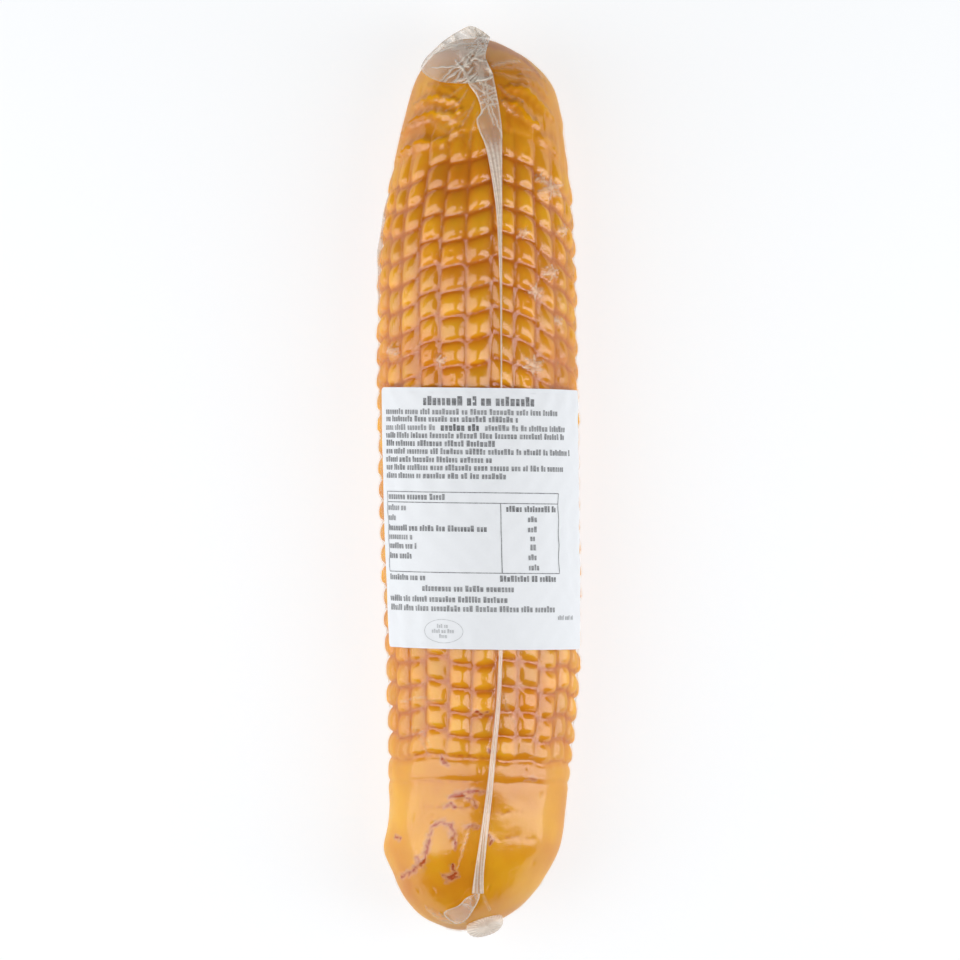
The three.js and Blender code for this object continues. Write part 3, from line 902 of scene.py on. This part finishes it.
# Burst rind at the blunt end: width, depth, and a route of (across, along) places.
SCARS = [
    (0.5, 0.5, [(-10.5, -100.6), (-6.5, -99.2), (-2.6, -101.0), (-1.0, -103.4)]),
    (0.4, 0.4, [(-8.2, -99.2), (-3.0, -98.2), (2.4, -98.8)]),
    (0.45, 0.4, [(-12.0, -103.6), (-9.4, -102.2), (-7.8, -103.4)]),
    (0.55, 0.5, [(-15.4, -109.4), (-12.5, -108.0), (-9.4, -109.2), (-8.4, -113.0), (-7.8, -116.8)]),
    (0.6, 0.6, [(-15.4, -109.6), (-16.6, -115.2), (-17.9, -120.6), (-21.8, -124.2), (-26.0, -127.0)]),
    (0.9, 0.5, [(-20.8, -119.4), (-19.0, -121.4), (-17.6, -119.8)]),
    (0.5, 0.5, [(-8.8, -121.6), (-8.2, -124.4), (-9.6, -126.0), (-11.2, -127.6)]),
    (0.4, 0.4, [(-12.4, -124.6), (-9.8, -126.2), (-6.6, -125.8)]),
    (0.35, 0.3, [(-5.8, -109.8), (-2.6, -109.2), (0.4, -110.0)]),
    (0.35, 0.3, [(2.6, -112.0), (4.0, -113.6), (3.4, -115.4)]),
    (0.4, 0.3, [(-27.8, -113.0), (-26.4, -114.2), (-25.4, -113.4)]),
    (0.3, 0.25, [(-13.6, -87.0), (-11.6, -89.6), (-9.4, -90.6)]),
    (0.3, 0.25, [(2.0, -84.4), (3.8, -86.2), (5.4, -85.4)]),
    (0.3, 0.25, [(14.6, -95.0), (17.4, -94.4), (18.8, -95.2)]),
    (0.35, 0.2, [(-2.6, -72.6), (0.2, -74.0), (2.6, -73.2)]),
]
# Wavy ridges on the taper, where pillows ran together: width, height, route.
FUSED_RIDGES = [
    (1.7, 1.4, [(-25.0, 110.0), (-21.0, 114.6), (-15.6, 116.4), (-9.0, 115.4), (-6.0, 117.0)]),
    (1.7, 1.4, [(-26.4, 103.4), (-19.6, 107.2), (-12.4, 107.0), (-6.4, 111.4)]),
    (1.5, 1.3, [(-20.8, 119.4), (-14.6, 121.8), (-7.4, 119.8)]),
    (1.3, 0.6, [(-17.6, 125.0), (-11.6, 124.2), (-8.0, 122.2)]),
    (1.6, 1.4, [(7.2, 119.4), (11.8, 118.6), (15.2, 114.0), (19.4, 112.2)]),
    (1.6, 1.2, [(8.6, 124.4), (14.6, 123.8), (19.8, 118.6), (23.4, 114.6)]),
    (1.4, 0.7, [(13.0, 128.4), (18.8, 125.4), (22.0, 121.0)]),
    (1.5, 0.7, [(18.6, 108.8), (23.0, 107.4), (25.6, 103.0)]),
]
# Darker brown bands on the shoulders: width, strength, route.
DARKER_BANDS = [
    (3.6, 0.75, [(2.0, 139.4), (9.0, 138.6), (15.0, 135.4), (20.0, 128.6)]),
    (2.2, 0.6, [(6.0, 126.0), (9.0, 119.0), (9.4, 110.0)]),
    (2.0, 0.5, [(-3.0, 118.0), (-6.0, 111.0), (-5.0, 104.0)]),
    (1.6, 0.5, [(-22.0, 117.4), (-14.6, 119.0), (-8.0, 117.8)]),
    (4.0, 0.45, [(-15.0, -131.0), (-7.0, -128.0), (0.0, -129.0)]),
]
# Thin grooves where the net's last rows hardly pressed: width, depth, route.
FAINT_GROOVES = [
    (0.45, 0.45, [(-25.5, -87.6), (-12.0, -87.0), (0.0, -87.8), (8.0, -89.4), (12.0, -90.6)]),
    (0.4, 0.4, [(-21.0, -95.2), (-12.0, -95.6), (-3.0, -95.0), (2.0, -95.6)]),
    (0.4, 0.35, [(-19.0, -103.4), (-8.0, -103.8), (3.0, -103.2), (8.0, -104.4)]),
    (0.35, 0.25, [(0.0, -104.6), (7.0, -105.4), (14.0, -104.6)]),
    (0.35, 0.25, [(4.0, -113.6), (12.0, -113.0), (18.0, -114.4)]),
]
# Folds drawn in the bag's film: width, height, milkiness, route.
FILM_FOLDS = [
    (0.7, 0.5, 0.5, [(3.2, 130.4), (7.0, 131.8), (12.8, 133.2)]),
    (0.5, 0.4, 0.22, [(3.8, 130.0), (11.0, 130.4), (17.9, 130.2), (21.4, 126.7)]),
    (0.5, 0.4, 0.2, [(4.2, 129.0), (10.0, 127.0), (16.0, 126.2)]),
    (0.4, 0.3, 0.3, [(5.6, 125.0), (9.0, 121.6), (13.8, 119.6)]),
    (0.4, 0.3, 0.25, [(6.0, 121.0), (9.4, 117.0), (12.0, 115.6)]),
    (0.35, 0.3, 0.35, [(-1.6, 120.0), (-4.0, 115.0), (-6.4, 111.4)]),
    (0.35, 0.3, 0.3, [(-3.6, 124.0), (-6.6, 119.6), (-11.0, 116.8)]),
    (0.35, 0.25, 0.25, [(-4.8, 125.0), (-9.6, 121.6), (-15.0, 120.4)]),
    (0.35, 0.25, 0.25, [(-0.6, 116.4), (-3.0, 110.0), (-3.6, 105.0)]),
    (0.35, 0.25, 0.2, [(-2.4, 118.0), (-7.0, 114.4), (-12.4, 112.0)]),
    (1.0, 0.35, 0.12, [(-21.0, 120.0), (-14.0, 118.2), (-9.0, 114.0), (-4.0, 113.0)]),
    (1.0, 0.35, 0.1, [(-23.0, 112.6), (-16.0, 114.4), (-11.0, 110.4), (-5.0, 108.6)]),
    (0.35, 0.3, 0.35, [(7.2, -66.0), (8.6, -72.0), (11.6, -77.6)]),
    (0.35, 0.3, 0.3, [(-26.0, -70.6), (-20.0, -68.8), (-12.0, -69.8)]),
    (0.35, 0.25, 0.3, [(-22.4, -78.0), (-18.0, -80.6), (-15.4, -84.6)]),
    (0.35, 0.25, 0.25, [(-20.6, -80.4), (-17.6, -84.4), (-16.6, -88.0)]),
    (0.3, 0.25, 0.4, [(-3.2, -110.4), (-5.4, -117.0), (-7.4, -123.2)]),
    (0.35, 0.3, 0.4, [(0.6, -130.4), (2.2, -134.0), (3.4, -136.8)]),
    (0.9, 0.3, 0.35, [(-17.6, -135.4), (-12.6, -139.0), (-7.6, -140.8)]),
    (0.6, 0.3, 0.4, [(-13.0, -137.4), (-9.0, -139.6), (-4.0, -140.2)]),
]
# Where film tents over a crossing it is stretched white, in a star, which is partly a painted
# highlight: across, along, size.
STARS = [
    (22.9, 92.6, 2.6), (23.2, 65.8, 1.8), (18.0, 59.6, 1.8), (17.4, 36.4, 2.2), (27.0, 79.2, 1.4),
    (19.8, 95.6, 1.2), (-28.6, 41.0, 1.2), (-12.8, 37.8, 1.3), (14.2, 78.0, 1.2), (25.4, 50.4, 1.2),
]

TAIL_LEFT = [
    (125.6, -6.4), (126.2, -11.8), (128.0, -16.0), (131.2, -18.9), (134.4, -17.9), (137.6, -15.0),
    (141.4, -10.6), (144.0, -6.4), (145.4, -3.4),
]
TAIL_RIGHT = [
    (125.6, -3.0), (126.4, 2.0), (128.0, 4.2), (131.0, 3.0), (134.4, 1.8), (138.0, 2.4),
    (141.4, 3.2), (142.4, 2.6), (144.6, -0.6), (145.4, -2.8),
]
FLAP_LEFT = [
    (28.0, 6.5), (57.6, 6.3), (80.0, 5.4), (91.8, 4.2), (104.6, 1.9), (110.4, -0.3), (113.9, -1.1),
    (116.8, 0.3), (121.3, -1.0), (125.1, -3.5), (128.0, -4.6),
]
FLAP_RIGHT = [
    (28.0, 6.95), (57.6, 6.95), (80.0, 7.0), (104.6, 7.0), (110.1, 7.0), (115.8, 6.4), (121.9, 5.4),
    (128.0, 4.2),
]
# The pleat below the label: (along, across) of its middle, and (along, half width).
LOWER_PLEAT = [
    (-131.0, -0.7), (-124.8, -0.3), (-112.0, 1.3), (-99.2, 2.9), (-86.4, 4.2), (-70.4, 5.8), (-53.0, 6.6),
]
LOWER_PLEAT_HALF = [(-131.0, 1.9), (-124.8, 1.5), (-112.0, 1.2), (-95.0, 0.95), (-70.0, 0.7), (-53.0, 0.55)]
LEAF_LEFT = [
    (-141.4, -7.4), (-139.8, -9.9), (-137.9, -11.5), (-136.6, -10.6), (-135.0, -7.0), (-132.2, -4.2),
    (-130.9, -1.2),
]
LEAF_RIGHT = [
    (-141.4, -6.6), (-139.8, -4.2), (-137.3, -2.6), (-135.0, -1.3), (-132.8, -0.3), (-130.9, 0.0),
]
KNOT = {"turn": math.radians(37), "along": -141.0, "lift": 0.3, "half_sizes": (6.1, 4.3, 3.6),
        "facing": (0.15, -0.3, 1.0)}


def film_ribbon(name, edges, size, shape, film, foot=0.25, thickness=FILM_THICKNESS):
    """Makes and places a closed ribbon of film that lies on the bag between two edges.

    Size is where it begins and ends along the log, and its points along and across. Shape gives its
    height off its foot and its milkiness, at (across, along, share across, distance from its edge).
    """
    across, along, share = ribbon(*edges, *size)
    from_edge = np.minimum(share, 1 - share) * np.ptp(across, axis=1)[:, None]
    height, milkiness = shape(across, along, share, from_edge)
    top = front_points(across, along, foot + height)
    bottom = front_points(across, along, foot + height - thickness)
    haze = np.clip(milkiness, 0, MILKIEST)
    place(closed_sheet(name, top, bottom, film, haze=haze), "clear_film")


def crown(share):
    """The height of a pleat's rounded top at a share of its width."""
    return np.sin(math.pi * share) ** 0.7


def fibres(share, y, count, lean):
    """0 to 1 and back across a pleat, for the milky threads that run along it."""
    return 0.5 + 0.5 * np.sin(count * share + lean * y)


# --- Operators, one for each piece ---


class MakeCheese(bpy.types.Operator):
    """Make the cheese: a log with the net's pillows, smoked, with a few scars at its blunt end"""

    bl_idname = "smoked_cheese.make_cheese"
    bl_label = "Make the Cheese"

    def execute(self, context):
        sizes = context.scene.smoked_cheese_sizes
        rind = smoked_rind(context.scene.smoked_cheese_colours)
        cheese = netted("cheese", sizes, lift=0.0, floor=BAG_LIFT, depth=sizes.groove_depth,
                        roundness=2.1, tenting=0.0, haze=0.0, material=rind)
        scar = np.zeros(len(cheese.data.vertices))
        height = np.zeros(len(scar))
        for width, depth, route in SCARS:
            mark = stroke(cheese, route, width * 1.2, ripple=0.2)
            lips = stroke(cheese, route, width * 2.8, ripple=0.2)
            # A burst's lips stand up a little beside its crack.
            height += 0.6 * depth * (0.8 * (lips - mark) - mark)
            scar = np.maximum(scar, 0.4 * lips + 0.6 * mark)
        groove = values_of(cheese, "groove")
        for width, rise, route in FUSED_RIDGES:
            ridge = stroke(cheese, route, width)
            height += rise * ridge
            # Painted shade darkens a band on each side of the ridge.
            groove = np.maximum(groove, 1.3 * (stroke(cheese, route, width * 1.8) - ridge))
        for width, depth, route in FAINT_GROOVES:
            mark = stroke(cheese, route, width)
            height -= depth * mark
            # The faint grooves take the net's smoke colour and painted shade.
            groove = np.maximum(groove, 0.75 * mark)
        for width, strength, route in DARKER_BANDS:
            groove = np.maximum(groove, strength * stroke(cheese, route, width))
        raise_surface(cheese, height, BAG_LIFT)
        give_values(cheese, "scar", scar)
        give_values(cheese, "groove", groove)
        place(cheese, "smoked_cheese", "cheese")
        return {"FINISHED"}


class ShrinkBag(bpy.types.Operator):
    """Shrink the bag's clear film over the cheese, so that it bridges the grooves"""

    bl_idname = "smoked_cheese.shrink_bag"
    bl_label = "Shrink the Bag"

    def execute(self, context):
        sizes = context.scene.smoked_cheese_sizes
        film = shrink_film(context.scene.smoked_cheese_colours.film, "polyamide_shrink_film",
                           haze_floor=0.0, crinkle=0.2, threading=0.5)
        bag = netted("vacuum_bag", sizes, lift=FILM_LIFT, floor=0.0, depth=sizes.film_depth,
                     roundness=1.9, tenting=0.45, haze=0.07, material=film)
        haze = values_of(bag, "haze")
        height = np.zeros(len(haze))
        for width, depth, route in SCARS:
            # Film rides over a burst's lips, and turns milky beside it.
            beside = stroke(bag, [(x - 0.8, y + 0.7) for x, y in route], width * 0.8)
            height += 0.5 * depth * stroke(bag, route, width * 3)
            haze = np.maximum(haze, 0.12 * beside)
        for width, depth, route in FAINT_GROOVES:
            height -= 0.3 * depth * stroke(bag, route, width * 2.5)
        for width, rise, route in FUSED_RIDGES:
            height += 0.55 * rise * stroke(bag, route, width * 1.2)
        for width, rise, milkiness, route in FILM_FOLDS:
            mark = stroke(bag, route, width, ripple=0.12)
            height += rise * mark
            haze = np.maximum(haze, milkiness * mark)
        for x, y, size in STARS:
            for angle in (0.3, 1.5, 2.5):
                arm = 1.5 * size * np.array([math.cos(angle), math.sin(angle)])
                middle = np.array([x, y])
                mark = stroke(bag, [middle - arm, middle, middle + arm], size * 0.5, ripple=0.15)
                height += 0.3 * mark
                # A star's milkiness is partly a painted highlight.
                haze = np.maximum(haze, 0.55 * mark)
        raise_surface(bag, height, 0.0)
        give_values(bag, "haze", haze)
        place(bag, "clear_film", "vacuum_bag")
        return {"FINISHED"}


class GatherTaper(bpy.types.Operator):
    """Gather the bag over the tapered end: a crumpled tail, a flap and the long front pleat"""

    bl_idname = "smoked_cheese.gather_taper"
    bl_label = "Gather the Tapered End"

    def execute(self, context):
        film = shrink_film(context.scene.smoked_cheese_colours.gathered, "gathered_shrink_film",
                           haze_floor=0.03, crinkle=0.2, threading=0.2)

        def tail_shape(x, y, share, from_edge):
            rng = np.random.default_rng(11)
            sharp = crumple(x, y, rng, middle=(-1.0, 136.6), count=20, reach=17, width=0.28)
            soft = crumple(x, y, rng, middle=(-3.0, 134.6), count=10, reach=16, width=1.4)
            gather = crumple(x, y, rng, middle=(-3.0, 126.8), count=8, reach=9, width=0.4)
            rim = np.exp(-((from_edge / 0.5) ** 2))
            height = 1.1 * soft + 0.4 * sharp + 0.5 * gather + 0.3 * rim
            return height, 0.12 + 0.26 * soft + 0.55 * sharp + 0.5 * gather + 0.25 * rim

        film_ribbon("bag_tail", (TAIL_LEFT, TAIL_RIGHT), (125.6, 145.4, 110, 96), tail_shape, film,
                    foot=0.7, thickness=0.15)

        def pleat_shape(x, y, share, from_edge):
            # The pleat runs out from under the label and opens into a flap near the taper.
            pleat = 1 / (1 + np.exp((y - 105.5) / 1.2))
            out_of_label = np.clip((y - 30) / 6, 0.1, 1)
            threads = 0.12 * np.sin(17 * share + 0.3 * y) + 0.08 * np.sin(31 * share)
            folds = crumple(x, y, np.random.default_rng(5), middle=(1.5, 122.0), count=22, reach=12,
                            width=0.28)
            flap = 0.12 + 0.45 * np.exp(-((from_edge / 0.45) ** 2)) + 0.5 * folds
            milkiness = pleat * (0.42 + 0.35 * fibres(share, y, 23, 0.35)) + (1 - pleat) * flap
            return out_of_label * crown(share) * (0.85 + threads), milkiness

        film_ribbon("front_pleat", (FLAP_LEFT, FLAP_RIGHT), (28.0, 128.0, 260, 24), pleat_shape, film)

        # A sliver of the side seam stands off the log's left side.
        y = np.linspace(56, 92, 60)[:, None]
        share = np.linspace(0, 1, 5)
        proud = 1.3 + 0.3 * np.sin(y * 0.37) * np.sin(y * 0.11)
        rooted = 1.4
        rise = share * proud * np.sin(math.pi * (y - 55) / 38) ** 0.5 - rooted
        front, back = (
            log_points(math.radians(turn), np.broadcast_to(y, rise.shape), FILM_LIFT + rise)[:, ::-1]
            for turn in (-86, -86.3))
        seam = closed_sheet("side_seam", front, back, film, haze=np.full(rise.shape, 0.3))
        place(seam, "clear_film")
        return {"FINISHED"}


class TieBluntEnd(bpy.types.Operator):
    """Tie the bag at the blunt end: the lower pleat, a leaf-shaped flap and the knot"""

    bl_idname = "smoked_cheese.tie_blunt_end"
    bl_label = "Tie the Blunt End"

    def execute(self, context):
        film = shrink_film(context.scene.smoked_cheese_colours.gathered, "knotted_shrink_film",
                           haze_floor=0.03, crinkle=0.15, threading=0.15)
        middle, half = reader(LOWER_PLEAT), reader(LOWER_PLEAT_HALF)
        stops = np.linspace(-131.0, -53.0, 14)
        edges = [list(zip(stops, middle(stops) + side * half(stops))) for side in (-1, 1)]

        def pleat_shape(x, y, share, from_edge):
            out_of_label = np.clip((-55 - y) / 5, 0.1, 1)
            threads = 0.08 * np.sin(14 * share + 0.4 * y) + 0.05 * np.sin(29 * share)
            milkiness = 0.14 + 0.35 * (2 * share - 1) ** 2 + 0.35 * fibres(share, y, 21, 0.3)
            return out_of_label * crown(share) * (0.9 + threads), milkiness

        film_ribbon("lower_pleat", edges, (-131.0, -53.0, 200, 20), pleat_shape, film)

        def leaf_shape(x, y, share, from_edge):
            veins = crumple(x, y, np.random.default_rng(8), middle=(-2.0, -133.0), count=9, reach=9,
                            width=0.25)
            milkiness = 0.06 + 0.7 * np.exp(-((from_edge / 0.4) ** 2)) + 0.35 * veins
            return 0.5 + 1.6 * (1 - share) ** 1.5 + 0.25 * np.sin(9 * share + 0.8 * y), milkiness

        film_ribbon("leaf_flap", (LEAF_LEFT, LEAF_RIGHT), (-141.4, -130.9, 50, 40), leaf_shape, film)

        # The knot is a flattened ball, pleated like a button round its middle.
        columns = 120
        polar, around = np.meshgrid(
            np.linspace(0, math.pi, 50)[1:-1], np.linspace(0, 2 * math.pi, columns, False), indexing="ij")
        pleats, dent = 26, 0.2 * np.exp(-((polar / 0.4) ** 2))
        ruffle = np.cos(pleats * around + 1.5 * np.sin(3 * polar)) * np.sin(polar)
        lump = np.cos(3 * around + 2 * polar) * np.sin(polar)
        radius = 1 + 0.015 * ruffle + 0.05 * lump - dent
        ball = radius[..., None] * np.stack([
            np.sin(polar) * np.cos(around), np.sin(polar) * np.sin(around), np.cos(polar)], axis=-1)
        poles = [(0, 0, 0.75), (0, 0, -0.95)]
        points = np.vstack([ball.reshape(-1, 3), poles]) * KNOT["half_sizes"]
        foot = log_points(KNOT["turn"], KNOT["along"], KNOT["lift"])
        facing = Vector(KNOT["facing"]).to_track_quat("Z", "Y").to_matrix()
        last = polar.size
        faces = [face[::-1] for face in grid_faces(len(polar), columns, wraps=True)]
        for c in range(columns):
            d = (c + 1) % columns
            faces.append((last, c, d))
            faces.append((last + 1, last - columns + d, last - columns + c))
        # The knot is milkier on its pleats' crests, partly a painted highlight.
        haze = np.append(np.clip(0.62 + 0.24 * ruffle + 0.08 * lump, 0.1, 0.9), [0.6, 0.6])
        knot = mesh_object("knot", points @ np.array(facing).T * MM + foot, faces, {"haze": haze})
        knot.data.materials.append(film)
        place(knot, "clear_film")
        return {"FINISHED"}


class WrapLabel(bpy.types.Operator):
    """Wrap the paper label round the front"""

    bl_idname = "smoked_cheese.wrap_label"
    bl_label = "Wrap the Label"

    def execute(self, context):
        sizes = context.scene.smoked_cheese_sizes
        paper = label_stock(context.scene.smoked_cheese_colours)
        u, v = label_grid()
        front, back = (label_points(u, v, sizes.label_lift / MM - depth) for depth in (0, LABEL_THICKNESS))
        face = mesh_object("label_face", front, grid_faces(*u.shape))
        flat = face.data.uv_layers.new(name="flat")
        corners = np.empty(len(face.data.loops), np.int32)
        face.data.loops.foreach_get("vertex_index", corners)
        places = np.stack([u.ravel() / LABEL_WIDTH, v.ravel() / LABEL_HEIGHT], axis=-1)
        flat.data.foreach_set("uv", places[corners].ravel())
        print_label(face, thermal_ink(context.scene.smoked_cheese_colours))
        bpy.data.objects.remove(face)
        label = closed_sheet("label", front, back, paper)
        label.data.set_sharp_from_angle(angle=math.radians(40))
        place(label, "label_paper", "label")
        return {"FINISHED"}


class SetStage(bpy.types.Operator):
    """Lay the pale floor, hang two long soft lights over it and set up the camera"""

    bl_idname = "smoked_cheese.set_stage"
    bl_label = "Set the Stage"

    def execute(self, context):
        scene = context.scene
        acrylic = light_table(scene.smoked_cheese_colours)
        corners = 3.0 * np.array([(-1, -1, 0), (1, -1, 0), (1, 1, 0), (-1, 1, 0)])
        floor = mesh_object("floor", corners, [(0, 1, 2, 3)])
        floor.data.materials.append(acrylic)

        axis = Vector((SHIFT[0] * MM, SHIFT[1] * MM, AXIS_HEIGHT * MM))
        # Two long soft boxes leave a dark gap towards the camera, and stand a little towards -Y.
        # Each has a lean from overhead and half a spread in degrees, a reach in metres, and watts.
        towards_blunt_end = -0.15
        for name, lean, half_spread, reach, watts in (
            ("soft_box_left", -50, 26, 0.55, 3.25),
            ("soft_box_right", 54, 18, 0.6, 3.15),
        ):
            lean = math.radians(lean)
            direction = Vector((math.sin(lean), towards_blunt_end, math.cos(lean))).normalized()
            light = bpy.data.lights.new(name, "AREA")
            light.shape = "RECTANGLE"
            light.size = 2 * reach * math.tan(math.radians(half_spread))
            light.size_y = 1.0
            light.energy = watts
            lamp = bpy.data.objects.new(name, light)
            scene.collection.objects.link(lamp)
            lamp.location = axis + direction * reach
            lamp.rotation_euler = direction.to_track_quat("Z", "Y").to_euler()
            lamp.visible_camera = False

        world = bpy.data.worlds.new("studio")
        scene.world = world
        world.use_nodes = True
        background = world.node_tree.nodes["Background"]
        background.inputs["Color"].default_value = (1, 1, 1, 1)
        background.inputs["Strength"].default_value = 0.08

        camera = bpy.data.objects.new("camera", bpy.data.cameras.new("camera"))
        scene.collection.objects.link(camera)
        camera_height = 2.0
        view_width = 307.2 * MM
        camera.data.sensor_width = 36
        camera.data.lens = camera.data.sensor_width * camera_height / view_width
        camera.location = axis + Vector((0, 0, camera_height))
        scene.camera = camera
        scene.view_settings.view_transform = "Standard"
        return {"FINISHED"}


class SmokedCheesePanel(bpy.types.Panel):
    """Lists the log's sizes and colours and the steps that build it"""

    bl_idname = "VIEW3D_PT_smoked_cheese"
    bl_label = "Smoked Cheese"
    bl_space_type = "VIEW_3D"
    bl_region_type = "UI"
    bl_category = "Smoked Cheese"

    def draw(self, context):
        scene = context.scene
        for group in (scene.smoked_cheese_sizes, scene.smoked_cheese_colours):
            for name in group.__annotations__:
                self.layout.prop(group, name)
        for step in STEPS:
            self.layout.operator(step.bl_idname)


STEPS = (MakeCheese, ShrinkBag, GatherTaper, TieBluntEnd, WrapLabel, SetStage)
CLASSES = (SmokedCheeseSizes, SmokedCheeseColours, *STEPS, SmokedCheesePanel)


def register():
    """Registers the classes and the scene's settings."""
    for each in CLASSES:
        bpy.utils.register_class(each)
    bpy.types.Scene.smoked_cheese_sizes = bpy.props.PointerProperty(type=SmokedCheeseSizes)
    bpy.types.Scene.smoked_cheese_colours = bpy.props.PointerProperty(type=SmokedCheeseColours)


def unregister():
    """Undoes register."""
    del bpy.types.Scene.smoked_cheese_colours
    del bpy.types.Scene.smoked_cheese_sizes
    for each in reversed(CLASSES):
        bpy.utils.unregister_class(each)


def main():
    """Builds every piece and the stage."""
    register()
    bpy.ops.smoked_cheese.make_cheese()
    bpy.ops.smoked_cheese.shrink_bag()
    bpy.ops.smoked_cheese.gather_taper()
    bpy.ops.smoked_cheese.tie_blunt_end()
    bpy.ops.smoked_cheese.wrap_label()
    bpy.ops.smoked_cheese.set_stage()


if __name__ == "__main__":
    main()
